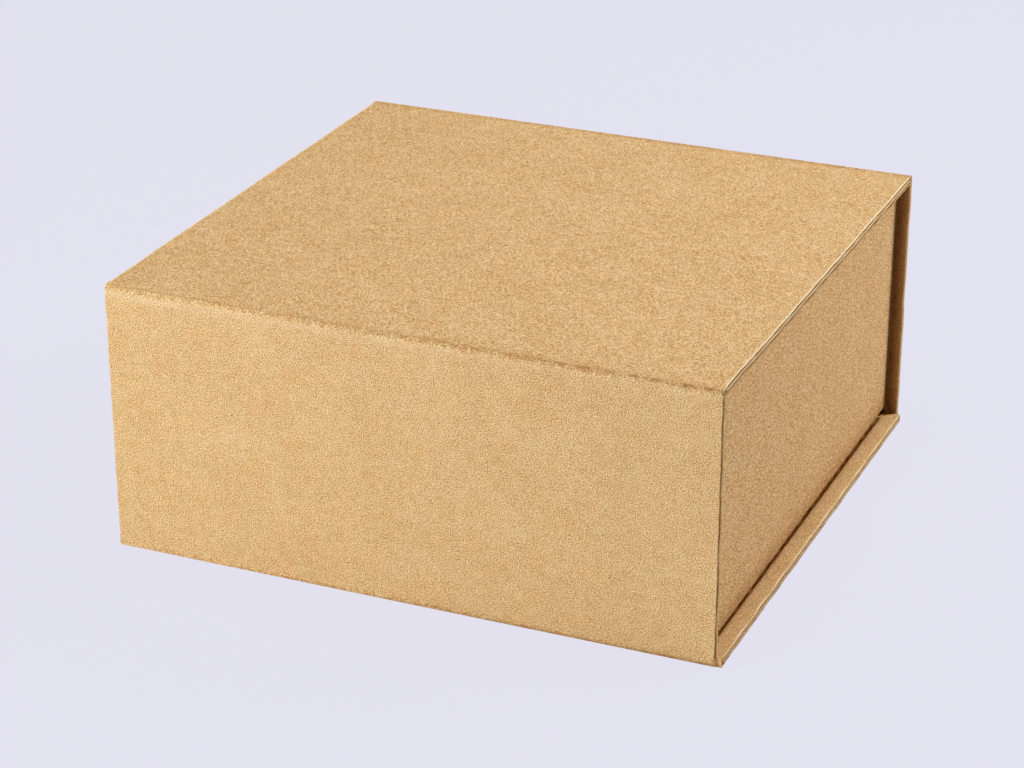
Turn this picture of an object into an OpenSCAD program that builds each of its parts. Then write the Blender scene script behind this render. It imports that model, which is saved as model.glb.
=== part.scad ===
// Closed presentation box of board covered in plain brown paper.
// A case of four wrapped panels (base, spine, lid and flap) folds round a tray.
// The spine is glued to the back of the tray and the base is glued under it.
// The lid turns on the paper fold at the spine, and the flap on the fold at the lid.
// X runs along the spine, the spine faces -Y, the flap faces +Y, and Z = 0 is the surface it stands on.

/* [Case] */
// Length of the spine, lid and flap, end to end
case_len = 220; // [160:5:320]
// Depth of the closed case, from the spine's face to the flap's face
case_depth = 210; // [140:5:300]
// Height of the closed case, from the surface it stands on to the top of the lid
case_height = 98; // [60:1:160]
// Thickness of a wrapped panel, board and paper together
panel_t = 3; // [2.6:0.1:4]
// How far the base stands out past the ends of the other panels
base_ledge = 2; // [0:0.5:4]
// Radius of a free edge, where the paper is drawn round the board
edge_r = 0.6; // [0.3:0.1:1]
// Radius of a free corner of the base or the flap, seen from its face
corner_r = 1; // [0.5:0.1:3]

/* [Paper folds] */
// How much further than its own thickness each board stops short of a fold
fold_slack = 0.4; // [0.3:0.1:1.5]
// Thickness of the covering paper and the lining, glued together across a fold
fold_paper_t = 0.4; // [0.3:0.05:0.6]
// Outer radius of a fold
fold_r = 1; // [0.7:0.1:1.5]
// How deep the paper sinks between a fold and the edge of a board
groove_depth = 0.25; // [0:0.05:0.4]

/* [Lining] */
// How far the lining sheet stands proud of the covering paper
lining_t = 0.2; // [0.1:0.05:0.3]
// Margin of covering paper that the lining leaves bare along a free edge
lining_margin = 4; // [2:0.5:8]

/* [Tray] */
// How far the tray's end walls stand back from the ends of the lid
end_recess = 4.5; // [2:0.5:8]
// Thickness of a tray wall
wall_t = 2.4; // [2:0.1:3.5]
// Thickness of the tray's floor
floor_t = 2.4; // [1.6:0.1:3.5]
// Radius of the tray's upright corners
tray_corner_r = 1.5; // [0.8:0.1:3]
// Radius of the edge round the foot of the tray
foot_r = 1; // [0.5:0.1:1.5]
// Radius of the rim, inside and out
rim_r = 0.8; // [0.4:0.1:0.9]

/* [Clearances] */
// Gap between the tray's rim and the lid's lining
lid_gap = 0.3; // [0.2:0.1:1]
// Gap between the tray's front and the flap's lining
flap_gap = 0.3; // [0.2:0.1:1]
// Gap under the flap's lower edge
flap_lift = 0.6; // [0.3:0.1:2]

/* [Magnetic catch] */
// Diameter of each magnet disc in the flap
magnet_d = 12; // [8:1:18]
// Thickness of each magnet disc
magnet_t = 1.5; // [1:0.1:1.6]
// Diameter of each steel disc in the front wall of the tray
plate_d = 14; // [8:1:20]
// Thickness of each steel disc
plate_t = 1; // [0.5:0.1:1]
// Distance from the end of the flap to the centre of a disc
disc_inset = 45; // [30:1:70]
// Height of the discs' centres above the surface
disc_height = 22; // [18:1:40]
// Paper over the face of a disc
disc_cover = 0.4; // [0.2:0.05:0.5]
// Play round a disc in its pocket
disc_play = 0.1; // [0.05:0.05:0.2]

/* [Hidden] */

// Enough facets for a radius of about a millimetre
$fn = 32;
eps = 0.01;

back_y = -case_depth / 2;
front_y = case_depth / 2;
// Each board stops this far from the outer corner of a fold
fold_leg = panel_t + fold_slack;

base_len = case_len + 2 * base_ledge;
// The base and the tray end on one line behind the flap
inner_front_y = front_y - panel_t - lining_t - flap_gap;

tray_len = case_len - 2 * end_recess;
tray_back_y = back_y + panel_t;
tray_depth = inner_front_y - tray_back_y;
tray_mid_y = (inner_front_y + tray_back_y) / 2;
tray_top_z = case_height - panel_t - lining_t - lid_gap;
tray_height = tray_top_z - panel_t;
pocket_len = tray_len - 2 * wall_t;
pocket_depth = tray_depth - 2 * wall_t;

// Steps along the groove and round the outside of a fold
groove_steps = 8;
round_steps = 8;

kraft = [0.78, 0.62, 0.42];
kraft_shade = [0.74, 0.58, 0.39];
paper_fold = [0.72, 0.56, 0.37];
magnet_grey = [0.70, 0.71, 0.73];
steel_grey = [0.60, 0.61, 0.63];

// A rectangle round the origin with all four corners rounded
module rounded_rect(w, h, r) {
    square([w - 2 * r, h], center = true);
    square([w, h - 2 * r], center = true);
    for (sx = [-1, 1], sy = [-1, 1])
        translate([sx * (w / 2 - r), sy * (h / 2 - r)])
            circle(r);
}

// A rectangle from x = 0, with the two corners at x = w rounded
module half_rounded_rect(w, h, r) {
    translate([0, -h / 2])
        square([w - r, h]);
    translate([0, -h / 2 + r])
        square([w, h - 2 * r]);
    for (sy = [-1, 1])
        translate([w - r, sy * (h / 2 - r)])
            circle(r);
}

// A board between two folds: square edges at the folds, paper drawn round its two ends.
// It lies on z = 0 and runs from y = 0 to y = width.
module folded_board(len, width) {
    translate([0, width, panel_t / 2])
        rotate([90, 0, 0])
            linear_extrude(height = width)
                rounded_rect(len, panel_t, edge_r);
}

// A board with a fold at y = 0 and a free edge, rounded with its corners, at y = width
module free_board(len, width) {
    intersection() {
        folded_board(len, width);
        translate([-len / 2, 0, panel_t / 2])
            rotate([90, 0, 90])
                linear_extrude(height = len)
                    half_rounded_rect(width, panel_t, edge_r);
        rotate([0, 0, 90])
            linear_extrude(height = panel_t)
                half_rounded_rect(width, len, corner_r);
    }
}

// Lining sheet on a board's inner face, bare margins at its ends and at a free edge
module lining(len, width, free_edge) {
    sheet_width = free_edge ? width - lining_margin : width;
    translate([lining_margin - len / 2, 0, -lining_t])
        cube([len - 2 * lining_margin, sheet_width, lining_t + eps]);
}

// Outer face of a fold: up one leg, round the corner, and along the groove of the other leg.
// The corner of the case is at the origin, and a slide of "inset" gives the paper's inner face.
function groove(s) = groove_depth * (1 - cos(360 * s)) / 2;
function fold_path(inset) = concat(
    [[inset, -fold_leg]],
    [for (i = [0 : round_steps])
        let (a = 180 - 90 * i / round_steps, r = fold_r - inset)
        [fold_r + r * cos(a), -fold_r + r * sin(a)]],
    [for (i = [1 : groove_steps])
        let (s = i / groove_steps, run = fold_leg - fold_r)
        [fold_r + run * s, -inset - groove(s)]]
);

// Strip of paper over a fold, with the corner of the case along X at y = 0, z = 0
module fold_strip(len) {
    inner = fold_path(fold_paper_t);
    rotate([90, 0, 90])
        translate([0, 0, -len / 2])
            linear_extrude(height = len)
                polygon(concat(fold_path(0), [for (i = [len(inner) - 1 : -1 : 0]) inner[i]]));
}

// The two discs of a row, upright, each with its face at y = 0 and its body behind it towards +Y
module disc_pair(d, t) {
    for (side = [-1, 1])
        translate([side * (case_len / 2 - disc_inset), 0, disc_height])
            rotate([-90, 0, 0])
                cylinder(d = d, h = t, $fn = 64);
}

// A quarter-round removed from an edge along X at the origin, towards +Y and -Z
module edge_rounder(len, r) {
    difference() {
        translate([-len / 2, -eps, -r])
            cube([len, r + eps, r + eps]);
        translate([-len / 2, r, -r])
            rotate([0, 90, 0])
                cylinder(r = r, h = len);
    }
}

// The same quarter-round, turned about an upright corner at the origin
module corner_rounder(r) {
    rotate_extrude()
        difference() {
            translate([0, -r])
                square([r, r + eps]);
            translate([r, -r])
                circle(r);
        }
}

// Lowest panel, glued under the tray
module base_panel() {
    color(kraft)
        translate([0, back_y + fold_leg, 0])
            free_board(base_len, inner_front_y - back_y - fold_leg);
}

// Upright panel glued to the back of the tray
module spine_panel() {
    color(kraft)
        translate([0, back_y + panel_t, fold_leg])
            rotate([90, 0, 0])
                folded_board(case_len, case_height - 2 * fold_leg);
}

// Panel that covers the tray, lined underneath
module lid_panel() {
    width = case_depth - 2 * fold_leg;
    color(kraft)
        translate([0, back_y + fold_leg, case_height - panel_t]) {
            folded_board(case_len, width);
            lining(case_len, width, false);
        }
}

// Hanging panel in front of the tray, lined on its inner side, with a sealed pocket for each magnet
module flap_panel() {
    width = case_height - fold_leg - flap_lift;
    color(kraft)
        difference() {
            translate([0, front_y - panel_t, case_height - fold_leg])
                rotate([-90, 0, 0]) {
                    free_board(case_len, width);
                    lining(case_len, width, true);
                }
            translate([0, front_y - panel_t - lining_t + disc_cover - disc_play, 0])
                disc_pair(magnet_d + 2 * disc_play, magnet_t + 2 * disc_play);
        }
}

// Fold between the base and the spine
module base_spine_fold() {
    color(paper_fold)
        translate([0, back_y, 0])
            mirror([0, 0, 1])
                fold_strip(case_len);
}

// Fold that the lid turns on
module spine_lid_fold() {
    color(paper_fold)
        translate([0, back_y, case_height])
            fold_strip(case_len);
}

// Fold that the flap turns on
module lid_flap_fold() {
    color(paper_fold)
        translate([0, front_y, case_height])
            mirror([0, 1, 0])
                fold_strip(case_len);
}

// Outside of the tray: upright corners, foot and rim all rounded by the paper
module tray_block() {
    intersection() {
        translate([0, tray_mid_y, panel_t])
            linear_extrude(height = tray_height)
                rounded_rect(tray_len, tray_depth, tray_corner_r);
        translate([-tray_len / 2, tray_mid_y, panel_t])
            rotate([90, 0, 90])
                linear_extrude(height = tray_len)
                    tray_section(tray_depth);
        translate([0, tray_back_y, panel_t])
            rotate([90, 0, 180])
                linear_extrude(height = tray_depth)
                    tray_section(tray_len);
    }
}

// Upright section of the tray's outside, standing on y = 0
module tray_section(w) {
    half = tray_height / 2;
    translate([-w / 2, foot_r])
        square([w, tray_height - foot_r - rim_r]);
    translate([foot_r - w / 2, 0])
        square([w - 2 * foot_r, half]);
    translate([rim_r - w / 2, half])
        square([w - 2 * rim_r, half]);
    for (side = [-1, 1]) {
        translate([side * (w / 2 - foot_r), foot_r])
            circle(foot_r);
        translate([side * (w / 2 - rim_r), tray_height - rim_r])
            circle(rim_r);
    }
}

// Open tray with a sealed pocket for each steel disc in its front wall
module tray() {
    color(kraft_shade)
        difference() {
            tray_block();
            translate([-pocket_len / 2, tray_back_y + wall_t, panel_t + floor_t])
                cube([pocket_len, pocket_depth, tray_height]);
            translate([0, tray_mid_y, tray_top_z])
                rim_rounding();
            translate([0, inner_front_y - disc_cover - plate_t - disc_play, 0])
                disc_pair(plate_d + 2 * disc_play, plate_t + 2 * disc_play);
        }
}

// What is taken off the inner edge of the rim: a quarter-round along each wall, and one round each corner
module rim_rounding() {
    for (side = [-1, 1]) {
        rotate([0, 0, 90 - side * 90])
            translate([0, pocket_depth / 2, 0])
                edge_rounder(pocket_len, rim_r);
        rotate([0, 0, side * 90])
            translate([0, pocket_len / 2, 0])
                edge_rounder(pocket_depth, rim_r);
        for (end = [-1, 1])
            translate([side * pocket_len / 2, end * pocket_depth / 2, 0])
                corner_rounder(rim_r);
    }
}

// Magnet discs, just under the paper of the flap's inner face
module flap_magnets() {
    color(magnet_grey)
        translate([0, front_y - panel_t - lining_t + disc_cover, 0])
            disc_pair(magnet_d, magnet_t);
}

// Steel discs, just under the paper of the tray's front wall
module tray_plates() {
    color(steel_grey)
        translate([0, inner_front_y - disc_cover - plate_t, 0])
            disc_pair(plate_d, plate_t);
}

base_panel();
spine_panel();
lid_panel();
flap_panel();
base_spine_fold();
spine_lid_fold();
lid_flap_fold();
tray();
flap_magnets();
tray_plates();
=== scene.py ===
# %% [markdown]
# # A closed presentation box in brown paper
# The object is a rigid box: four boards wrapped in one sheet of kraft paper fold round a tray.
# What makes it look real is small: how the paper is drawn round each board, the soft corner
# where a board stops and only paper goes on, the dark gap under the tray, and the fibres in
# the paper. So this lesson spends its effort there, at the scale of tenths of a millimetre.

# %% Load the measured model
import math

import bmesh
import bpy
import numpy as np
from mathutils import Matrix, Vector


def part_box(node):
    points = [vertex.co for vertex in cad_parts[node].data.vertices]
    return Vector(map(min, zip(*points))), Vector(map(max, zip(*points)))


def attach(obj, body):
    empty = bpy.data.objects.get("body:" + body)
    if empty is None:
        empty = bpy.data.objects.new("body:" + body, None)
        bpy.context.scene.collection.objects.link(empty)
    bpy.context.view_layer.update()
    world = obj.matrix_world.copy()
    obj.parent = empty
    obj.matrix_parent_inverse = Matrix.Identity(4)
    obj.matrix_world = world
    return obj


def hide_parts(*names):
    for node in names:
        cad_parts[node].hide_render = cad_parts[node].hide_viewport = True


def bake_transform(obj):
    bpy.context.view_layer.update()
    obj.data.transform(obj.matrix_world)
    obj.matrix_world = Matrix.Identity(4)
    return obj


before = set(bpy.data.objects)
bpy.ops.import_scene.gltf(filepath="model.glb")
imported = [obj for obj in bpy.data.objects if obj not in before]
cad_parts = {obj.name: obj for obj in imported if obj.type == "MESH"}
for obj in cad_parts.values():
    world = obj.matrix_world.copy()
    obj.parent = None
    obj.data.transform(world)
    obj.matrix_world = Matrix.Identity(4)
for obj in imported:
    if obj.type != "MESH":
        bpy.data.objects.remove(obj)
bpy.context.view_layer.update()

# %% [markdown]
# The pieces below are worked out in millimetres, because a board's thickness is easier to
# think of as 3 than as 0.003. Every size that the CAD model already has is read from it, so
# the looks can't drift away from the measured box.

# %% Sizes of the real pieces, in millimetres
MM = 0.001


def node_size(node):
    """Lowest and highest corner of a CAD piece, in millimetres."""
    low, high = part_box(node)
    return np.array(low) / MM, np.array(high) / MM


base_low, base_high = node_size("base_panel")
spine_low, spine_high = node_size("spine_panel")
lid_low, lid_high = node_size("lid_panel")
flap_low, flap_high = node_size("flap_panel")
tray_low, tray_high = node_size("tray")
back, front, top = spine_low[1], flap_high[1], lid_high[2]
case_len = lid_high[0] - lid_low[0]
board_t = base_high[2]
fold_leg = spine_low[2]
lining_t = lid_high[2] - lid_low[2] - board_t
print(f"case {case_len:.0f} x {front - back:.0f} x {top:.0f} mm, boards {board_t:.1f} mm")

# %% [markdown]
# ## The paper
# Kraft paper is unbleached: light and dark fibres lie in all directions, a little cloudy over
# a few millimetres, with a dark speck of bark here and there. A photograph of paper could be
# wrapped on, but it would stretch at the folds and show seams. Noise textures that fill space
# like smoke in a room are the better choice here: boards and folds cut through the same
# smoke, so the grain runs on without a seam from one piece to the next.

# %% A short way to add nodes
def add_node(tree, kind, inputs=None, **settings):
    """Adds a shader node, sets its properties and fixed inputs, and links the rest."""
    node = tree.nodes.new("ShaderNode" + kind)
    for key, value in settings.items():
        setattr(node, key, value)
    for key, value in (inputs or {}).items():
        if isinstance(value, bpy.types.NodeSocket):
            tree.links.new(value, node.inputs[key])
        else:
            node.inputs[key].default_value = value
    return node


def calculate(tree, operation, a, b=0.0, c=0.0, clamp=False):
    """One sum between two or three values or sockets."""
    node = add_node(tree, "Math", {0: a, 1: b, 2: c}, operation=operation, use_clamp=clamp)
    return node.outputs[0]


def blend_colours(tree, share, first, second, way="MIX"):
    """The first colour at share 0, the second at share 1. Each is a colour or a socket.
    With MULTIPLY as the way, share 1 gives the product of the two."""
    first, second = (c if isinstance(c, bpy.types.NodeSocket) else (*c, 1)
                     for c in (first, second))
    node = add_node(tree, "Mix", {0: share, 6: first, 7: second},
                    data_type="RGBA", blend_type=way)
    return node.outputs[2]


def noise(tree, where, size_mm, detail=2.0, roughness=0.55, stretch=None):
    """Noise in lumps of about size_mm, spread so that most of it lies between -1 and 1."""
    if stretch:
        where = add_node(tree, "Mapping", {"Vector": where, "Scale": stretch}).outputs[0]
    lumps = add_node(tree, "TexNoise", {
        "Vector": where, "Scale": 1 / (size_mm * MM), "Detail": detail, "Roughness": roughness})
    return add_node(tree, "MapRange", {
        "Value": lumps.outputs[0], "From Min": 0.3, "From Max": 0.7,
        "To Min": -1.0, "To Max": 1.0}, clamp=False).outputs[0]


# %% [markdown]
# Specks are scattered with a Voronoi texture: space is cut into cells, and each cell has a
# random number. Only the cells with a high number get a speck, so they lie far apart and at
# no fixed distance, as real ones do. A speck fades out over the last sixth of its radius.

# %% Specks in a few of the cells
def specks(tree, where, cell_mm, radius_mm, share):
    """1 inside a speck, 0 elsewhere. share is the part of the cells that have one."""
    cells = add_node(tree, "TexVoronoi", {"Vector": where, "Scale": 1 / (cell_mm * MM)})
    lot = add_node(tree, "SeparateColor", {"Color": cells.outputs["Color"]}).outputs[0]
    radius = add_node(tree, "MapRange", {
        "Value": lot, "From Min": 1 - share, "From Max": 1.0,
        "To Min": 0.0, "To Max": radius_mm / cell_mm}).outputs[0]
    inside = calculate(tree, "SUBTRACT", radius, cells.outputs["Distance"])
    return calculate(tree, "MULTIPLY", inside, 6 * cell_mm / radius_mm, clamp=True)


# %% [markdown]
# One recipe makes every paper on the box. It starts from a colour, lets the fibres and clouds
# move it between a deep brown and a cream, and tints it a little warmer in patches of a few
# millimetres. Then it adds specks. One thing comes from the meshes themselves, as a number on
# each point. Below 0 the paper is pressed into a crease, where dirt gathers, and in some places
# the number is painted shade: it turns warmer first, and then a deep brown. Above 0 it is
# rubbed, and in some places the number is a painted highlight: it goes to cream. Such paper has
# no shine at all, so the recipe leaves the reflection out.

# %% Colours that the recipe mixes with the paper's own
DARK_FIBRES = (0.60, 0.41, 0.09)
PALE_FIBRES = (1.38, 1.56, 1.86)
COOL_PATCH, WARM_PATCH = (0.985, 1.0, 1.0), (1.0, 0.95, 0.89)
BARK = (0.16, 0.08, 0.03)
# These three paint creases and rubbed edges, and painted shade and painted highlights too
PRESSED_AND_SHADED_TINT = (0.97, 0.78, 0.50)
CREASE_AND_SHADE_BROWN = (0.140, 0.036, 0.003)
RUBBED_AND_HIGHLIGHT_CREAM = (0.95, 0.80, 0.55)
MIDDLE_TONE = 0.52
print("fibres:", DARK_FIBRES, "to", PALE_FIBRES, "times the paper's colour")


# %% The recipe for kraft paper
def kraft_paper(name, colour, fibre_mm=0.42, grain=1.0, roughness=0.86):
    """A matt brown paper: fibres, clouds, specks, creases, painted highlights and painted shade.
    """
    material = bpy.data.materials.new(name)
    material.use_nodes = True
    tree = material.node_tree
    shader = tree.nodes["Principled BSDF"]
    where = add_node(tree, "TexCoord").outputs["Object"]

    # Lumps of four sizes, and how far each of them moves the tone
    fibre = noise(tree, where, fibre_mm, detail=1.5, roughness=0.8)
    cross = noise(tree, where, 0.75, detail=1.0)
    mottle = noise(tree, where, 3.2, detail=3.0, roughness=0.6)
    cloud = noise(tree, where, 21.0, detail=3.0)
    tone = MIDDLE_TONE
    for lumps, share in ((fibre, 0.74 * grain), (cross, 0.08), (mottle, 0.085), (cloud, 0.04)):
        tone = calculate(tree, "MULTIPLY_ADD", lumps, share, tone)
    paper = blend_colours(tree, tone, [c * d for c, d in zip(colour, DARK_FIBRES)],
                          [c * p for c, p in zip(colour, PALE_FIBRES)])

    # Warmer patches, and specks of bark
    blush = calculate(tree, "MULTIPLY_ADD", noise(tree, where, 6.0), 0.5, 0.5, clamp=True)
    tint = blend_colours(tree, blush, COOL_PATCH, WARM_PATCH)
    paper = blend_colours(tree, 1.0, paper, tint, way="MULTIPLY")
    bark = calculate(tree, "MULTIPLY", specks(tree, where, 3.5, 0.4, share=0.2), 0.75)
    paper = blend_colours(tree, bark, paper, BARK)

    # Creases and rubbed edges, painted shade and painted highlights, from the number on each
    # point
    wear_and_shading = add_node(tree, "Attribute", attribute_name="wear_and_shading").outputs["Fac"]
    pressed_and_shaded = calculate(tree, "MULTIPLY", wear_and_shading, -1.0, clamp=True)
    rubbed_and_lit = calculate(tree, "MULTIPLY", wear_and_shading, 1.0, clamp=True)
    paper = blend_colours(tree, pressed_and_shaded, paper, PRESSED_AND_SHADED_TINT, way="MULTIPLY")
    paper = blend_colours(tree, pressed_and_shaded, paper, CREASE_AND_SHADE_BROWN)
    paper = blend_colours(tree, rubbed_and_lit, paper, RUBBED_AND_HIGHLIGHT_CREAM)
    tree.links.new(paper, shader.inputs["Base Color"])

    # The fibres stand up by hundredths of a millimetre
    relief = calculate(tree, "ADD", fibre, calculate(tree, "MULTIPLY", mottle, 0.6))
    bump = add_node(tree, "Bump", {"Height": relief, "Strength": 0.5, "Distance": 0.03 * MM})
    tree.links.new(bump.outputs[0], shader.inputs["Normal"])
    shader.inputs["Roughness"].default_value = roughness
    shader.inputs["Specular IOR Level"].default_value = 0.0
    return material


# %% [markdown]
# The case is covered in one kind of paper. The tray's paper is a little redder and coarser,
# and the lining inside the lid and the flap is calmer, so each has a material of its own.

# %% Three papers from the recipe
KRAFT = (0.695, 0.457, 0.222)
TRAY_KRAFT = (0.746, 0.459, 0.215)
case_paper = kraft_paper("case_kraft", KRAFT)
tray_paper = kraft_paper("tray_kraft", TRAY_KRAFT, fibre_mm=0.6)
lining_paper = kraft_paper("lining_kraft", KRAFT, grain=0.8, roughness=0.8)
print("papers:", [m.name for m in (case_paper, tray_paper, lining_paper)])

# %% [markdown]
# ## A block ruled with lines
# A default cube has no points where a crease could go. All the boards start instead as a block
# ruled with lines in three directions, close together where the paper is worked and far apart
# where it lies flat. Only the skin of the block is kept. Then each point is moved to its
# place by a rule. This beats bevel modifiers here, because the rule can also make an edge
# wander along its length, as a hand-wrapped edge does.

# %% The skin of a ruled block
def ruled_block(us, vs, ws):
    """Points on the skin of a block ruled at us, vs and ws, and the four-sided faces."""
    shape = (len(us), len(vs), len(ws))
    skin = np.zeros(shape, bool)
    for axis in range(3):
        skin[tuple(slice(None) if a != axis else [0, -1] for a in range(3))] = True
    number = np.full(shape, -1)
    number[skin] = np.arange(skin.sum())
    points = np.stack(np.meshgrid(us, vs, ws, indexing="ij"), -1)[skin]
    faces = []
    for axis in range(3):
        for end in (0, -1):
            sheet = np.take(number, end, axis=axis)
            ring = [sheet[:-1, :-1], sheet[1:, :-1], sheet[1:, 1:], sheet[:-1, 1:]]
            faces.append(np.stack(ring, -1).reshape(-1, 4))
    return points, np.concatenate(faces)


points, faces = ruled_block([0, 1, 2], [0, 1, 2], [0, 1])
print(f"a block ruled 3 x 3 x 2: {len(points)} points, {len(faces)} faces")

# %% Where the lines lie
CLOSE_LINES = np.array([0, 0.08, 0.17, 0.28, 0.42, 0.6, 0.85, 1.2, 1.8, 2.8])


def rule(low, high, worked_low, worked_high, step):
    """Lines from low to high: close together at a worked end, and even in between."""
    start = low + (CLOSE_LINES if worked_low else CLOSE_LINES[:1])
    end = (high - (CLOSE_LINES if worked_high else CLOSE_LINES[:1]))[::-1]
    count = max(1, round((end[0] - start[-1]) / step))
    return np.concatenate([start, np.linspace(start[-1], end[0], count + 1)[1:-1], end])


print("lines from 0 to 12, worked at 0:", rule(0, 12, True, False, 3.0).round(2))

# %% [markdown]
# Nothing that is wrapped by hand is quite straight. A few sine waves of different lengths,
# added up, make a line that wanders smoothly and never repeats within the box. The seed makes
# it the same line each time the scene is built.

# %% A line that wanders
def wander(along, seed, wave):
    """A smooth, irregular line between about -1 and 1, in waves of about that length."""
    chance = np.random.default_rng(seed)
    total = np.zeros_like(along)
    for _ in range(5):
        length = wave * chance.uniform(0.5, 2.2)
        total += chance.uniform(0.4, 1) * np.sin(2 * np.pi * (along / length + chance.random()))
    return total / 2.6


print("a line that wanders:", wander(np.arange(0.0, 60.0, 10.0), 1, 30).round(2))


# %% A mesh from points
def make_piece(name, points, faces, wear_and_shading, material):
    """A smooth-shaded mesh object from points in millimetres, with its wear and painted light
    and shade on each point.
    """
    mesh = bpy.data.meshes.new(name)
    mesh.from_pydata((points * MM).tolist(), [], [list(f) for f in faces])
    wear_and_shading_layer = mesh.attributes.new("wear_and_shading", "FLOAT", "POINT")
    wear_and_shading_layer.data.foreach_set("value", wear_and_shading.astype(np.float32))
    form = bmesh.new()
    form.from_mesh(mesh)
    bmesh.ops.recalc_face_normals(form, faces=form.faces)
    form.to_mesh(mesh)
    form.free()
    mesh.shade_smooth()
    mesh.set_sharp_from_angle(angle=math.radians(50))
    mesh.materials.append(material)
    piece = bpy.data.objects.new(name, mesh)
    bpy.context.scene.collection.objects.link(piece)
    print(f"{name}: {len(mesh.vertices)} points, {len(mesh.polygons)} faces")
    return piece


# %% [markdown]
# ## Wrapping a board
# The sheet runs over the outer face of the board, turns the edge, and is glued behind. At the
# edge it makes a small round, lies in fine creases, makes a second round at the back, and
# wanders by a quarter of a millimetre. The creases are what the eye picks up, so each board
# has a short list of bands round its edge: how far round, how wide, how pale or dark, and how
# deep the band is sunk. The way round is measured in millimetres: below 0 on the outer face,
# 0 to 3 on the edge, and above 3 on the inner face. A band further than 1 mm onto the inner
# face is drawn at the ends of the board only. A narrow band wavers along its length, and a
# wide one is calmer.
# Some of the bands are painted highlights and painted shade rather than creases.

# %% The rounds of a wrapped board
EDGE_R = 0.45       # where the paper turns the edge of the board
CORNER_R = 1.0      # the corner of the board, seen from its face


def round_corner(side, end_gap, free_gap):
    """How far a point moves along and across the board to round its corner, and how much of
    the way out of the edge is along and across there."""
    a, b = np.clip(CORNER_R - end_gap, 0, None), np.clip(CORNER_R - free_gap, 0, None)
    corner = (a > 0) & (b > 0)
    span = np.where(corner, np.hypot(a, b), 1.0)
    shrink = np.where(corner, np.maximum(a, b) / span, 1.0)
    out_u = side * np.where(corner, a / span, end_gap <= free_gap)
    out_v = np.where(corner, b / span, end_gap > free_gap)
    return side * a * (shrink - 1), b * (shrink - 1), out_u, out_v


def round_edge(gap, w):
    """How far a point moves out of the edge, and through the board, to round the edge."""
    middle = board_t / 2
    reach = np.clip(EDGE_R - gap, 0, None)
    rise = np.clip(abs(w - middle) - (middle - EDGE_R), 0, None)
    in_round = (reach > 0) & (rise > 0)
    scale = np.where(in_round, EDGE_R / np.where(in_round, np.hypot(reach, rise), 1.0), 1.0)
    return reach * (scale - 1), np.sign(w - middle) * rise * (scale - 1)


print(f"rounds of {EDGE_R} mm at the edges and {CORNER_R} mm at the corners")

# %% The rule for a wrapped board
EDGE_SLACK = 0.24   # how far the whole edge wanders in
BAND_LEVEL, BAND_WAVER, BAND_DRIFT = 0.85, 0.3, 0.8
FAR_AWAY = 1e3


def wrap(points, length, width, free_edge, seed, bands):
    """Places the points of a ruled block as a board wrapped at its ends, with its wear and
    painted light and shade.
    """
    u, v, w = points.T
    end_gap = length / 2 - abs(u)
    free_gap = width - v if free_edge else np.full_like(v, FAR_AWAY)
    at_end = end_gap <= free_gap
    gap = np.minimum(end_gap, free_gap)
    move_u, move_v, out_u, out_v = round_corner(np.sign(u), end_gap, free_gap)
    u, v = u + move_u, v + move_v
    push, move_w = round_edge(gap, w)

    # The bands round the edge
    along = np.where(at_end, v, u)
    way_round = board_t - w + gap * np.sign(board_t / 2 - w)
    wear_and_shading = np.zeros_like(u)
    for number, (at, band_width, shade, sunk) in enumerate(bands):
        waver = BAND_WAVER / max(band_width, 1) * wander(along, seed + 3 + number, 12)
        band = np.exp(-((way_round - at - BAND_DRIFT * waver) / band_width) ** 2)
        drawn = at_end if at >= board_t + 1 else 1.0
        wear_and_shading += shade * band * (BAND_LEVEL + waver) * drawn
        push = push - sunk * band * (gap < 1e-6)

    # The wandering of the whole edge
    loose = 0.5 + 0.5 * wander(along, seed, 34) + 0.3 * wander(along, seed + 2, 9)
    push = push - EDGE_SLACK * np.clip(loose, 0, 1.3) * np.exp(-((gap / 2.5) ** 2))
    return np.stack([u + out_u * push, v + out_v * push, w + move_w], 1), wear_and_shading


# %% [markdown]
# The same rule serves all four boards. They differ in where they lie: each has a corner it
# starts from, a direction across it, and a direction that its outer face looks. Extra lines
# are ruled round the edge for the creases, and on the inner face near the ends, where a dark
# line has to come out sharp. Those of the edge are given for a board of 3 mm.

# %% Make a board and put it in its place
INNER_LINES = np.array([3.6, 4.4, 5.2, 6.0, 6.2, 6.4, 6.6, 7.2, 8.2])
EDGE_LINES = np.array([0, 0.08, 0.18, 0.3, 0.45, 0.6, 0.8, 1.0, 1.25, 1.5, 1.75, 2.0, 2.2, 2.4,
                       2.55, 2.7, 2.82, 2.92, 3.0])
AXES = {"up": (0, 0, 1), "down": (0, 0, -1), "front": (0, 1, 0), "back": (0, -1, 0)}


def place(points, start, across, outward):
    """Moves points from the flat, u along the box, to where the board lies."""
    u, v, w = points.T[:, :, None]
    along = np.array([1.0, 0, 0])
    return np.array(start) + u * along + v * np.array(AXES[across]) + w * np.array(AXES[outward])


def wrapped_board(name, node, body, length, width, start, across, outward, free_edge, seed,
                  bands, shade=None):
    """One board of the case, standing for its CAD node. shade adds painted light and shade that
    only it has.
    """
    us = rule(-length / 2, length / 2, True, True, 3.0)
    us = np.union1d(us, np.outer([-1, 1], length / 2 - INNER_LINES))
    vs = rule(0, width, False, free_edge, 1.6)
    ws = EDGE_LINES * board_t / 3.0
    points, faces = ruled_block(us, vs, ws)
    points, wear_and_shading = wrap(points, length, width, free_edge, seed, bands)
    if shade:
        wear_and_shading = wear_and_shading + shade(points, length, width)
    board = make_piece(name, place(points, start, across, outward), faces, wear_and_shading, case_paper)
    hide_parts(node)
    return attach(board, body)
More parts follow.
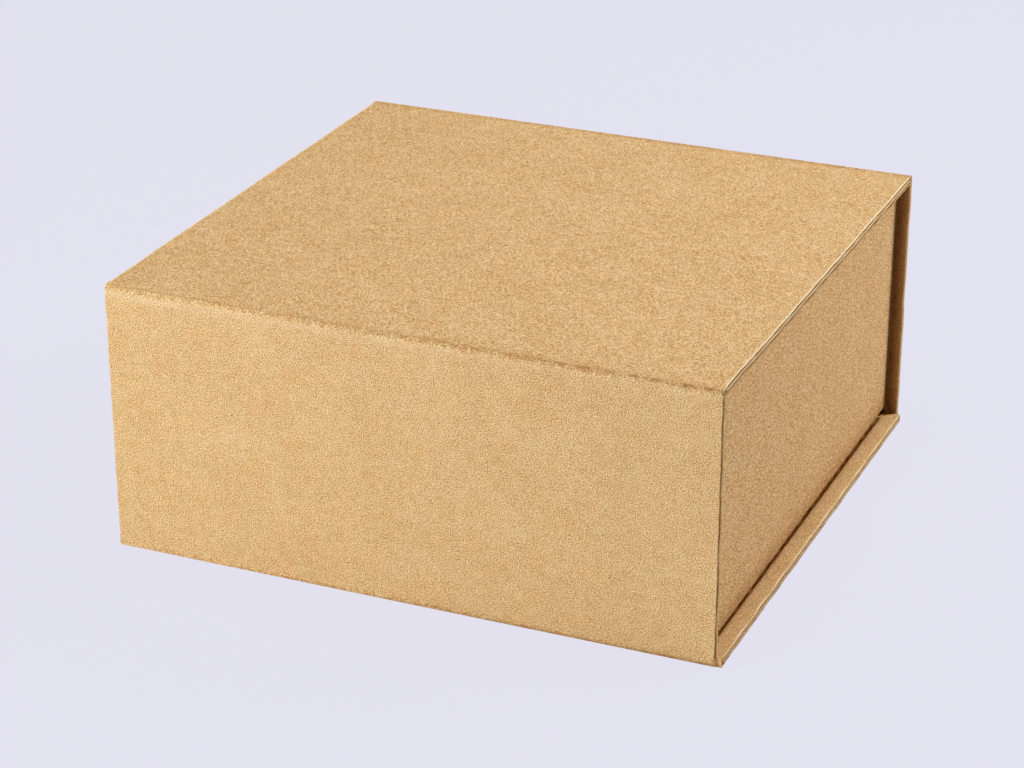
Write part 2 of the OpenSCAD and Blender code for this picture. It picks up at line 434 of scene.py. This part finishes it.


# %% [markdown]
# The lists of bands come from a close look at each edge. The edge of the lid shows cream and
# brown folds side by side, the ends of the spine one dark line, and the ledge of the base one
# pale line. The cream rim of the lid and the pale line of the ledge are painted highlights,
# where a rounded edge catches the light. The dark line at the floor, the back of the lid's edge
# and the bands far on the inner face are painted shade: under the foot of the tray, and in the
# slot between the tray and the flap, where a real box is darker than soft light alone would make
# it.
# Two boards have something more: the top of the spine is painted a little paler, as painted
# light, and the far corner of the ledge is painted dark, as the shade behind the flap.

# %% The creases and shades of each board
# For each band: how far round, how wide, how pale or dark, how deep
BASE_BANDS = (
    (3.1, 0.42, 0.85, 0.0),      # a painted highlight along the rounded edge of the ledge
    (2.25, 0.28, -0.8, 0.06),    # the crease under it
    (0.15, 0.35, -0.9, 0.0),     # painted shade where the edge meets the floor
    (9.6, 0.45, -1.0, 0.0),      # the shade at the foot of the tray
    (11.2, 1.6, -1.0, 0.0),      # and the deeper shade under it
)
SPINE_BANDS = (
    (-0.35, 0.3, 0.15, 0.0),     # a faint pale line on the outer face
    (0.7, 0.7, -0.92, 0.22),     # the dark line where the spine ends
)
LID_BANDS = (
    (-0.5, 0.26, 1.2, 0.0),      # the cream rim of the outer face, a painted highlight
    (0.3, 0.24, -1.3, 0.18),     # the crease next to it
    (0.95, 0.26, 0.7, 0.0),      # a second pale fold
    (1.7, 0.3, -0.8, 0.0),       # a second dark line
    (2.7, 0.6, -0.2, 0.0),       # painted shade at the back of the edge, beside the tray
)
FLAP_BANDS = (
    (1.5, 1.7, -0.1, 0.0),       # the whole edge, a little darker
    (0.9, 0.2, 0.35, 0.08),      # a pale crease in it
    (7.0, 4.4, -0.95, 0.0),      # painted shade in the slot beside the tray
)


def painted_light_on_top(points, length, width):
    """Painted light: paler along the top of the spine, and more so towards its left end."""
    u, v, w = points.T
    return 0.2 * (0.5 - u / length) * (w > 2) * np.exp(-((width - v) / 1.3) ** 2)


def dark_far_corner(points, length, width):
    """A wedge of shade on the inner face of the base, at its right end behind the flap."""
    u, v, w = points.T
    end_gap, free_gap = length / 2 - u, width - v
    wedge = np.clip((0.7 * end_gap - free_gap) / 0.8, 0, 1) * (end_gap < 10)
    return -1.6 * wedge * (w < 0.6)


print("bands on base, spine, lid and flap:",
      [len(bands) for bands in (BASE_BANDS, SPINE_BANDS, LID_BANDS, FLAP_BANDS)])

# %% [markdown]
# The base and the flap end in a free edge that is wrapped too. The lid and the spine have a
# fold on both sides, where the board simply stops. The base of this box was glued a little
# off centre: its right end stands out past the spine, and its left end is flush with it.

# %% Build the four boards
OFF_CENTRE = 2.0
base_left, base_right = base_low[0] + OFF_CENTRE, base_high[0]
wrapped_board("base_board", "base_panel", "tray_and_base",
              length=base_right - base_left, width=base_high[1] - base_low[1],
              start=((base_left + base_right) / 2, base_low[1], board_t),
              across="front", outward="down", free_edge=True, seed=11,
              bands=BASE_BANDS, shade=dark_far_corner)
wrapped_board("spine_board", "spine_panel", "tray_and_base",
              length=case_len, width=spine_high[2] - spine_low[2],
              start=(0, back + board_t, spine_low[2]),
              across="up", outward="back", free_edge=False, seed=23,
              bands=SPINE_BANDS, shade=painted_light_on_top)
wrapped_board("lid_board", "lid_panel", "lid",
              length=case_len, width=lid_high[1] - lid_low[1],
              start=(0, lid_low[1], top - board_t),
              across="front", outward="up", free_edge=False, seed=35, bands=LID_BANDS)
wrapped_board("flap_board", "flap_panel", "flap",
              length=case_len, width=flap_high[2] - flap_low[2],
              start=(0, front - board_t, flap_high[2]),
              across="down", outward="front", free_edge=True, seed=47, bands=FLAP_BANDS)

# %% [markdown]
# ## The lining sheets
# A plain sheet is glued inside the lid and the flap. It hides the turned-in edges of the
# covering paper and leaves a narrow margin of them bare. Over the magnets in the flap the
# sheet swells a little, which is the only sign of them on such a box.

# %% Line the lid and the flap
MARGIN = 4.0
magnet_low, magnet_high = node_size("flap_magnets")
magnet_r = (magnet_high[2] - magnet_low[2]) / 2
magnet_x = magnet_high[0] - magnet_r
magnet_z = (magnet_high[2] + magnet_low[2]) / 2


def lining_sheet(name, body, width, start, across, outward, seed, disc_at=None):
    """A thin sheet on the inner face of a board. outward is the way it faces, and disc_at is
    how far across it the middles of the magnets lie."""
    length = case_len - 2 * MARGIN
    us, vs = rule(-length / 2, length / 2, True, True, 1.5), rule(0, width, True, True, 1.5)
    points, faces = ruled_block(us, vs, [0.0, lining_t * 0.6, lining_t])
    u, v, w = points.T
    end_gap, edge_gap = length / 2 - abs(u), np.minimum(v, width - v)

    # The ends waver, the sheet swells over the magnets, and its edges are pressed thinner
    u = u - np.sign(u) * 0.2 * (1 + wander(v, seed, 40)) * np.exp(-end_gap)
    swell = np.zeros_like(u)
    if disc_at is not None:
        for centre in (-magnet_x, magnet_x):
            distance = np.hypot(u - centre, v - disc_at)
            swell += 1 / (1 + np.exp((distance - magnet_r - 0.5) * 3))
    thinner = 1 - 0.35 * np.exp(-np.minimum(end_gap, edge_gap) * 2.2)
    level = w * thinner * (0.72 + 0.28 * swell)
    points = place(np.stack([u, v, level], 1), start, across, outward)
    # The ends of the sheet are painted darker, as painted shade beside the ends of the tray
    wear_and_shading = -0.7 * np.exp(-((end_gap / 1.4) ** 2))
    sheet = make_piece(name, points, faces, wear_and_shading, lining_paper)
    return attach(sheet, body)


lining_sheet("lid_lining", "lid", lid_high[1] - lid_low[1],
             (0, lid_low[1], top - board_t), "front", "down", 61)
lining_sheet("flap_lining", "flap", flap_high[2] - flap_low[2] - MARGIN,
             (0, front - board_t, flap_high[2]), "down", "back", 67,
             disc_at=flap_high[2] - magnet_z)

# %% [markdown]
# ## The paper folds
# Between two boards there is only paper. It leaves the first board, rises to the corner,
# rounds it, and sinks into the gap before it meets the next board. This is the feature that
# tells a wrapped box from a folded carton, so it is modelled as a path and swept along the
# corner. A few points are given and their corners are cut again and again, which rounds
# any path with no other tool.

# %% The path of the paper over a corner
def cut_corners(path, rounds=2):
    """Chaikin's way to round a path: each inner corner is replaced by two points."""
    path = np.array(path, float)
    for _ in range(rounds):
        a, b = path[:-1], path[1:]
        middle = np.stack([0.75 * a + 0.25 * b, 0.25 * a + 0.75 * b], 1).reshape(-1, 2)
        path = np.concatenate([path[:1], middle[1:-1], path[-1:]])
    return path


def fold_path(leg):
    """From the upright board to the level one, with the corner of the case at (0, 0).
    The first number is the depth inwards, the second the height."""
    return cut_corners([
        (0.0, -leg), (0.0, -3.0), (0.0, -2.5), (0.04, -1.8), (0.08, -1.1), (0.10, -0.5),
        (0.16, -0.12), (0.42, 0.0), (0.8, -0.05), (1.3, -0.2), (1.9, -0.32), (2.6, -0.2),
        (leg - 0.35, -0.05), (leg, 0.0)])


path = fold_path(fold_leg)
print(f"fold path: {len(path)} points over {np.hypot(*np.diff(path, axis=0).T).sum():.1f} mm")

# %% [markdown]
# Swept along the box, the same path would look machined. So the depth of the groove and the
# place of the ridge wander. At each end the sheet is turned in over itself, which closes the
# hollow behind the corner, so the strip gets thick there. The fold under the spine rolls
# under towards one end, and where it stands out past the spine it is drawn in.

# %% The shape of a fold
PAPER_T = 0.4
SKIN_LINES = [0, 0.35, 0.45, 0.62, 0.72, 0.82, 0.92, 1]


def shape_outside(x, step, from_end, lean, seed):
    """Depth and height of the outer face at each step of the path, and how near a point is
    to the corner. lean is how far the corner rolls under."""
    deep, high = path[step].T

    # The groove and the ridge, which fade out where the fold meets the boards
    free = np.sin(np.pi * step / (len(path) - 1))
    groove = np.exp(-((deep - 1.9) / 0.8) ** 2)
    ridge = np.exp(-((high + 1.6) / 0.9) ** 2) * (deep < 0.3)
    high = high - 0.12 * groove * free * np.clip(1 + wander(x, seed, 16), 0, 2)
    deep = deep + 0.07 * ridge * free * np.clip(1 + wander(x, seed + 1, 22), 0, 2)

    # The roll at the corner, the tucked corner of each end, and what stands past the spine
    deep = deep + lean * np.exp(-(np.hypot(deep, high * 0.6) / 0.9) ** 2)
    corner = np.exp(-(np.hypot(deep, high) / 0.8) ** 2)
    deep = deep + 0.25 * corner * np.exp(-((from_end / 0.6) ** 2))
    past_spine = np.clip((abs(x) - case_len / 2 + 0.3) / 0.5, 0, 1)
    return deep + 0.8 * past_spine * np.exp(-deep), high, corner


def shape_inside(deep, high, step, inner, turned_in):
    """Moves the inner face in by the paper, and right back to the boards at a turned-in end.
    inner is 0 on the outer face and 1 on the inner face."""
    tangent = np.gradient(path, axis=0)
    normal = np.stack([tangent[:, 1], -tangent[:, 0]], 1) / np.hypot(*tangent.T)[:, None]
    across = step / (len(path) - 1)
    gap_deep = board_t + across * (fold_leg - board_t)
    gap_high = -fold_leg + across * (fold_leg - board_t)
    thick, fill = inner * (1 - turned_in) * PAPER_T, inner ** 2 * turned_in
    return (deep + thick * normal[step, 0] + fill * (gap_deep - deep),
            high + thick * normal[step, 1] + fill * (gap_high - high))


# %% [markdown]
# The shading of a fold is what the eye reads as its shape, so it is painted on. Below the
# corner the upright leg gets a soft line of painted light, where its ridge turns up to the
# lamps. Over the corner and in the groove the paper is painted in shade, with short dark strokes
# towards the right. Each turned-in end has a crease halfway through it, and a painted highlight
# on its corner.

# %% The wear of a fold
def shade_fold(x, way, inner, corner, from_end, near_side, seed, rubbed_and_lit):
    """Painted light and shade of the strip, and its creases. way is the distance from the
    corner, below 0 on the upright leg, and near_side runs from 0 at the left end to 1 at the
    right end."""
    soft = 0.75 + 0.35 * wander(x, seed + 5, 30)
    strokes = np.clip(wander(x, seed + 4, 6) * 1.5, 0, 1) * near_side
    painted_light = np.exp(-((way + 3.0 - 0.6 * near_side) / (1.2 - 0.5 * near_side)) ** 2)
    painted_light = painted_light * rubbed_and_lit * (1.15 - 0.6 * near_side)
    painted_shade = np.exp(-((way - 0.3) / np.where(way > 0.3, 2.4, 1.2 + 0.8 * near_side)) ** 2)
    painted_shade = painted_shade * (0.6 + 0.6 * near_side)
    edge = np.exp(-((from_end / 0.35) ** 2))
    crease = edge * np.exp(-((inner - 0.5) / 0.12) ** 2)
    wear_and_shading = soft * (0.22 * painted_light - 0.2 * painted_shade) - 0.5 * corner * strokes - 0.95 * crease
    # A painted highlight on the corner at each end, on the outer skin
    return wear_and_shading + 0.8 * edge * corner * (inner < 0.1)


# %% [markdown]
# Now the strip is swept: a ruled block with one line for each step of the path and a few
# lines through its thickness, moved to its place by the two rules above.

# %% Sweep the three folds
def fold(name, node, body, left, right, corner_y, corner_z, inward, upward, seed,
         turned_mm=0.8, roll_under=0.0, rubbed_and_lit=1.0):
    """A strip of paper over one corner. inward and upward are +1 or -1 along Y and Z.
    The hollow behind it is filled over turned_mm at each end."""
    steps = np.arange(len(path), dtype=float)
    points, faces = ruled_block(rule(left, right, True, True, 1.3), steps, SKIN_LINES)
    x, step, inner = points[:, 0], points[:, 1].astype(int), 1 - points[:, 2]
    from_end = np.minimum(x - left, right - x)
    near_side = (x - left) / (right - left)
    lean = roll_under * near_side ** 2
    deep, high, corner = shape_outside(x, step, from_end, lean, seed)
    turned_in = np.exp(-((from_end / turned_mm) ** 4))
    deep, high = shape_inside(deep, high, step, inner, turned_in)
    x = x - np.sign(x) * 0.12 * (1 + wander(high + deep, seed + 3, 5)) * np.exp(-from_end)

    way = np.where(deep > -high, deep, high)
    wear_and_shading = shade_fold(x, way, inner, corner, from_end, near_side, seed, rubbed_and_lit)
    # Where the corner rolls under it faces down, and is painted in shade
    wear_and_shading = wear_and_shading - 0.8 * lean * corner
    if right - left > case_len:
        spine_end = np.exp(-((abs(x) - case_len / 2 + 0.1) / 0.3) ** 2)
        wear_and_shading = wear_and_shading - 1.2 * spine_end * (deep < 1.2)
    points = np.stack([x, corner_y + inward * deep, corner_z + upward * high], 1)
    strip = make_piece(name, points, faces, wear_and_shading, case_paper)
    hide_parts(node)
    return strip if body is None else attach(strip, body)


left, right = lid_low[0], lid_high[0]
fold("base_spine_paper", "base_spine_fold", "tray_and_base", base_left, base_right, back, 0.0,
     1, -1, 71, turned_mm=4.5, roll_under=0.7, rubbed_and_lit=0.15)
lid_fold = fold("spine_lid_paper", "spine_lid_fold", None, left, right, back, top, 1, 1, 83)
flap_fold = fold("lid_flap_paper", "lid_flap_fold", None, left, right, front, top, -1, 1, 97)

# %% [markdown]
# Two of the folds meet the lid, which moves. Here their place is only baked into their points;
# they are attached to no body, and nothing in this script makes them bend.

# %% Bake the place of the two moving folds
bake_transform(lid_fold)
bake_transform(flap_fold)
print("bending folds:", lid_fold.name, flap_fold.name)

# %% [markdown]
# ## The tray
# The tray is one board folded up and wrapped. It is drawn as a pile of outlines, from the
# middle of its underside out to the foot, up the outer wall, over the rim, down the inner wall
# and in over the floor, with faces between each outline and the next.

# %% One outline of the tray
SIDE_STEPS = {"x": 96, "y": 90}
CORNER_STEPS = 6


def outline(half_x, half_y, radius):
    """Points round a rectangle with rounded corners, starting at the right end."""
    ring = []
    for turn, (sx, sy) in enumerate(((1, 1), (-1, 1), (-1, -1), (1, -1))):
        centre = np.array([sx * (half_x - radius), sy * (half_y - radius)])
        angles = np.radians(90 * turn + np.linspace(0, 90, CORNER_STEPS + 1))
        arc = centre + radius * np.stack([np.cos(angles), np.sin(angles)], 1)
        ring.append((arc, SIDE_STEPS["x" if turn % 2 == 0 else "y"]))
    points = []
    for k, (arc, steps) in enumerate(ring):
        points.extend(arc)
        start, end = arc[-1], ring[(k + 1) % 4][0][0]
        for s in np.linspace(0, 1, steps + 1)[1:-1]:
            points.append(start + (end - start) * s)
    return np.array(points)


print("points in an outline of the tray:", len(outline(20.0, 10.0, 1.0)))

# %% [markdown]
# Each outline is given by how far it stands inside the tray's outer face and how high it is.
# The list below reads like a cut through the wall. On the inner wall the covering paper ends
# in a straight cut edge below the rim, a tenth of a millimetre thick.

# %% A cut through the wall
WALL_T = 2.4
FLOOR_T = 2.4
FOOT_R = RIM_R = 0.8
TURNED_DOWN = 17.0
EDGE_STEP = 0.12
half_x, half_y = (tray_high[0] - tray_low[0]) / 2, (tray_high[1] - tray_low[1]) / 2
mid_y = (tray_high[1] + tray_low[1]) / 2
foot_z, rim_z = tray_low[2], tray_high[2]
floor_z = foot_z + FLOOR_T
paper_end = rim_z - TURNED_DOWN


def arc_steps(inset, height, radius, start, end, steps=5):
    """Insets and heights round a quarter circle, centred at (inset, height)."""
    angles = np.radians(np.linspace(start, end, steps))
    return [(inset - radius * math.cos(t), height + radius * math.sin(t)) for t in angles]


section = [(9.0, foot_z), (7.0, foot_z), (5.0, foot_z + 0.05), (3.0, foot_z + 0.15)]
section += arc_steps(FOOT_R, foot_z + FOOT_R, FOOT_R, -90, 0)
section += [(0, h) for h in np.linspace(foot_z + 2.5, rim_z - 3, 16)]
section += arc_steps(RIM_R, rim_z - RIM_R, RIM_R, 0, 90)
section += arc_steps(WALL_T - RIM_R, rim_z - RIM_R, RIM_R, 90, 180)[1:]
section += [(WALL_T, rim_z - 4), (WALL_T, paper_end + 1), (WALL_T, paper_end),
            (WALL_T, paper_end - 0.12), (WALL_T - EDGE_STEP, paper_end - 0.16)]
section += [(WALL_T - EDGE_STEP, h) for h in np.linspace(paper_end - 3, floor_z + 2, 12)]
section += [(WALL_T - 0.1, floor_z + 0.5), (WALL_T + 0.05, floor_z + 0.15),
            (WALL_T + 0.5, floor_z), (WALL_T + 4, floor_z)]
print(f"cut through the wall: {len(section)} points, {rim_z - foot_z:.1f} mm high")

# %% [markdown]
# One thing is easy to miss on the tray: at its ends the foot stands a little clear of the
# base, and more so towards the front. That gap and what lies under it are painted dark as
# painted shade, the wall just above the foot is painted a little darker too, and so is the front
# corner beside the flap. The rim isn't quite level either: it dips by up to a quarter of a
# millimetre.

# %% Pile the outlines up
FOOT_CLEAR = 0.1
GROUND_SHADE, MOST_SHADE, SHADE_HEIGHT = 0.54, 0.3, 3.1


def tray_ring(inset, height):
    """One outline of the tray in its place, and its painted shade."""
    x, y = outline(half_x - inset, half_y - inset, max(1.5 - inset, 0.5)).T

    # The foot lifts at the ends of the tray, and the rim dips in waves
    toward_front = np.clip((y + half_y) / (2 * half_y), 0, 1)
    lift = 0.8 + 1.1 * toward_front + 0.1 * wander(y, 5, 20)
    at_end = np.clip((abs(x) - half_x + 6) / 4, 0, 1)
    near_foot = np.exp(-((height - foot_z) / 1.6) ** 2) * np.clip((6 - inset) / 2, 0, 1)
    near_rim = math.exp(-((height - rim_z) / 1.5) ** 2)
    z = height + near_foot * (FOOT_CLEAR + at_end * (lift - FOOT_CLEAR))
    z = z - 0.12 * (1 + wander(x + 1.7 * y, 7, 45)) * near_rim

    # Shade under the foot, at the front corner, and on the wall above the foot
    under = np.clip((inset - 0.25) * 3.0, 0, 1) if height < floor_z else 0.0
    front_corner = np.clip((y - half_y + 2.0) / 1.2, 0, 1) * (inset < 1)
    above_foot = GROUND_SHADE * math.exp((foot_z - height) / SHADE_HEIGHT)
    above_foot = min(MOST_SHADE, above_foot) * (inset < FOOT_R)
    painted_shade = np.clip(near_foot * under + 0.85 * front_corner + above_foot, 0, 1)
    return np.stack([x, y + mid_y, z], 1), -painted_shade


rings, ring_shade = zip(*(tray_ring(inset, height) for inset, height in section))
print(f"tray: {len(rings)} outlines of {len(rings[0])} points")

# %% Join the outlines into the tray
count = len(rings[0])
tray_faces = [list(range(count))]
for k in range(len(rings) - 1):
    a, b = k * count, (k + 1) * count
    tray_faces += [(a + i, a + (i + 1) % count, b + (i + 1) % count, b + i)
                   for i in range(count)]
last = (len(rings) - 1) * count
tray_faces.append(list(range(last, last + count)))
tray_shell = make_piece("tray_shell", np.concatenate(rings), tray_faces,
                        np.concatenate(ring_shade), tray_paper)
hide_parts("tray")
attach(tray_shell, "tray_and_base")

# %% [markdown]
# ## The discs
# The magnets and the steel plates are sealed under paper and never seen, so their CAD solids
# stay as they are. They still get a finish of their own: plated metal with fine scratches.

# %% Metal for the sealed discs
def disc_metal(name, colour, roughness):
    """Plated metal with fine scratches."""
    material = bpy.data.materials.new(name)
    material.use_nodes = True
    tree = material.node_tree
    shader = tree.nodes["Principled BSDF"]
    where = add_node(tree, "TexCoord").outputs["Object"]
    scratch = noise(tree, where, 0.5, detail=4.0, stretch=(1.0, 1.0, 0.08))
    share = calculate(tree, "MULTIPLY", scratch, 0.25)
    metal = blend_colours(tree, share, [c * 0.8 for c in colour], colour)
    tree.links.new(metal, shader.inputs["Base Color"])
    bump = add_node(tree, "Bump", {"Height": scratch, "Strength": 0.2, "Distance": 0.005 * MM})
    tree.links.new(bump.outputs[0], shader.inputs["Normal"])
    shader.inputs["Metallic"].default_value = 1.0
    shader.inputs["Roughness"].default_value = roughness
    return material


def refinish(node, material):
    """Gives a CAD piece that stays in view its new material."""
    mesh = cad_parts[node].data
    mesh.materials.clear()
    mesh.materials.append(material)


refinish("flap_magnets", disc_metal("nickel_plate", (0.70, 0.69, 0.66), 0.25))
refinish("tray_plates", disc_metal("bare_steel", (0.56, 0.57, 0.58), 0.4))
print(f"discs of {2 * magnet_r:.0f} mm refinished, {2 * magnet_x:.0f} mm apart")

# %% [markdown]
# ## Floor and backdrop
# The box stands on a plain pale floor. To the camera the floor and the world show one flat
# pale violet, so no horizon is seen. To everything else the floor is matt and painted a cool
# pale grey, which keeps the soft shadow of the box and throws some light back at it.

# %% The floor
BACKDROP = (0.776, 0.761, 0.871)
FLOOR_PAINT = (0.74, 0.80, 0.86)
FLAT_SHARE = 0.96   # how much of what the camera sees of the floor is flat backdrop
HALF_FLOOR = 8.0


def empty_tree(owner):
    """The node tree of a material or a world, with nothing in it."""
    owner.use_nodes = True
    owner.node_tree.nodes.clear()
    return owner.node_tree


floor_mesh = bpy.data.meshes.new("floor")
floor_corners = [(HALF_FLOOR * x, HALF_FLOOR * y, 0)
                 for x, y in ((-1, -1), (1, -1), (1, 1), (-1, 1))]
floor_mesh.from_pydata(floor_corners, [], [(0, 1, 2, 3)])
floor = bpy.data.objects.new("floor", floor_mesh)
bpy.context.scene.collection.objects.link(floor)
floor_paint = bpy.data.materials.new("floor_paint")
tree = empty_tree(floor_paint)
camera_ray = add_node(tree, "LightPath").outputs["Is Camera Ray"]
matt = add_node(tree, "BsdfDiffuse", {"Color": (*FLOOR_PAINT, 1)})
flat = add_node(tree, "Emission", {"Color": (*BACKDROP, 1), "Strength": 1.0})
share = calculate(tree, "MULTIPLY", camera_ray, FLAT_SHARE)
mixed = add_node(tree, "MixShader", {0: share, 1: matt.outputs[0], 2: flat.outputs[0]})
add_node(tree, "OutputMaterial", {"Surface": mixed.outputs[0]})
floor_mesh.materials.append(floor_paint)
print(f"floor: {2 * HALF_FLOOR:.0f} m square")

# %% The world
AMBIENT = 0.02
world = bpy.data.worlds.new("studio")
bpy.context.scene.world = world
tree = empty_tree(world)
rays = add_node(tree, "LightPath").outputs
seen = calculate(tree, "MAXIMUM", rays["Is Camera Ray"], rays["Is Glossy Ray"])
seen = calculate(tree, "MAXIMUM", seen, rays["Is Transmission Ray"])
shown = add_node(tree, "Background", {"Color": (*BACKDROP, 1), "Strength": 1.0})
ambient = add_node(tree, "Background", {"Color": (1.0, 1.0, 1.0, 1), "Strength": AMBIENT})
mixed = add_node(tree, "MixShader", {0: seen, 1: ambient.outputs[0], 2: shown.outputs[0]})
add_node(tree, "OutputWorld", {"Surface": mixed.outputs[0]})
print("world: backdrop", BACKDROP, "and ambient light of", AMBIENT)

# %% [markdown]
# ## Light
# The light is soft and plain. A square panel low at the left lights the spine and fades along
# it, one straight above gives the lid its level, and one at the right and behind keeps the
# end of the tray a little darker than the rest. The top panel is a touch warmer and the right
# one a touch cooler than white.

# %% Three soft panels of light
CENTRE = np.array([0.0, 0.0, 0.05])
PANEL_AWAY = 1.2
PANEL_SIZE = 0.7


def soft_panel(name, azimuth, elevation, watts, tint=(1.0, 1.0, 1.0)):
    """A square lamp that looks at the box from that direction. Azimuth 0 is the spine's side."""
    a, e = math.radians(azimuth), math.radians(elevation)
    toward = np.array([math.sin(a) * math.cos(e), -math.cos(a) * math.cos(e), math.sin(e)])
    lamp = bpy.data.lights.new(name, "AREA")
    lamp.shape = "SQUARE"
    lamp.size = PANEL_SIZE
    lamp.energy = watts
    lamp.color = tint
    holder = bpy.data.objects.new(name, lamp)
    holder.location = CENTRE + toward * PANEL_AWAY
    holder.rotation_euler = (math.radians(90) - e, 0, a)
    bpy.context.scene.collection.objects.link(holder)
    print(f"{name}: {watts} W at {azimuth} and {elevation} degrees")


soft_panel("left_panel", -35, 12, 12.7)
soft_panel("top_panel", 0, 88, 7.0, tint=(1.01, 1.0, 0.96))
soft_panel("right_panel", 130, 35, 9.7, tint=(0.99, 1.0, 1.06))

# %% [markdown]
# ## Camera
# The camera stands to the right of the spine and looks down at about 24 degrees. Its place and
# its long lens were found by fitting the corners of the box, so its numbers aren't round.

# %% Camera
camera_data = bpy.data.cameras.new("camera")
camera_data.lens = 100.306
camera_data.sensor_width = 36
camera = bpy.data.objects.new("camera", camera_data)
camera.location = (0.36521, -0.86516, 0.46013)
camera.rotation_euler = (math.radians(90 - 24.2308), 0, math.radians(23.2237))
bpy.context.scene.collection.objects.link(camera)
bpy.context.scene.camera = camera
bpy.context.scene.view_settings.view_transform = "Standard"
stands_at = [round(c, 2) for c in camera.location]
print(f"camera: {math.degrees(camera_data.angle):.1f} degrees wide, at {stands_at} m")
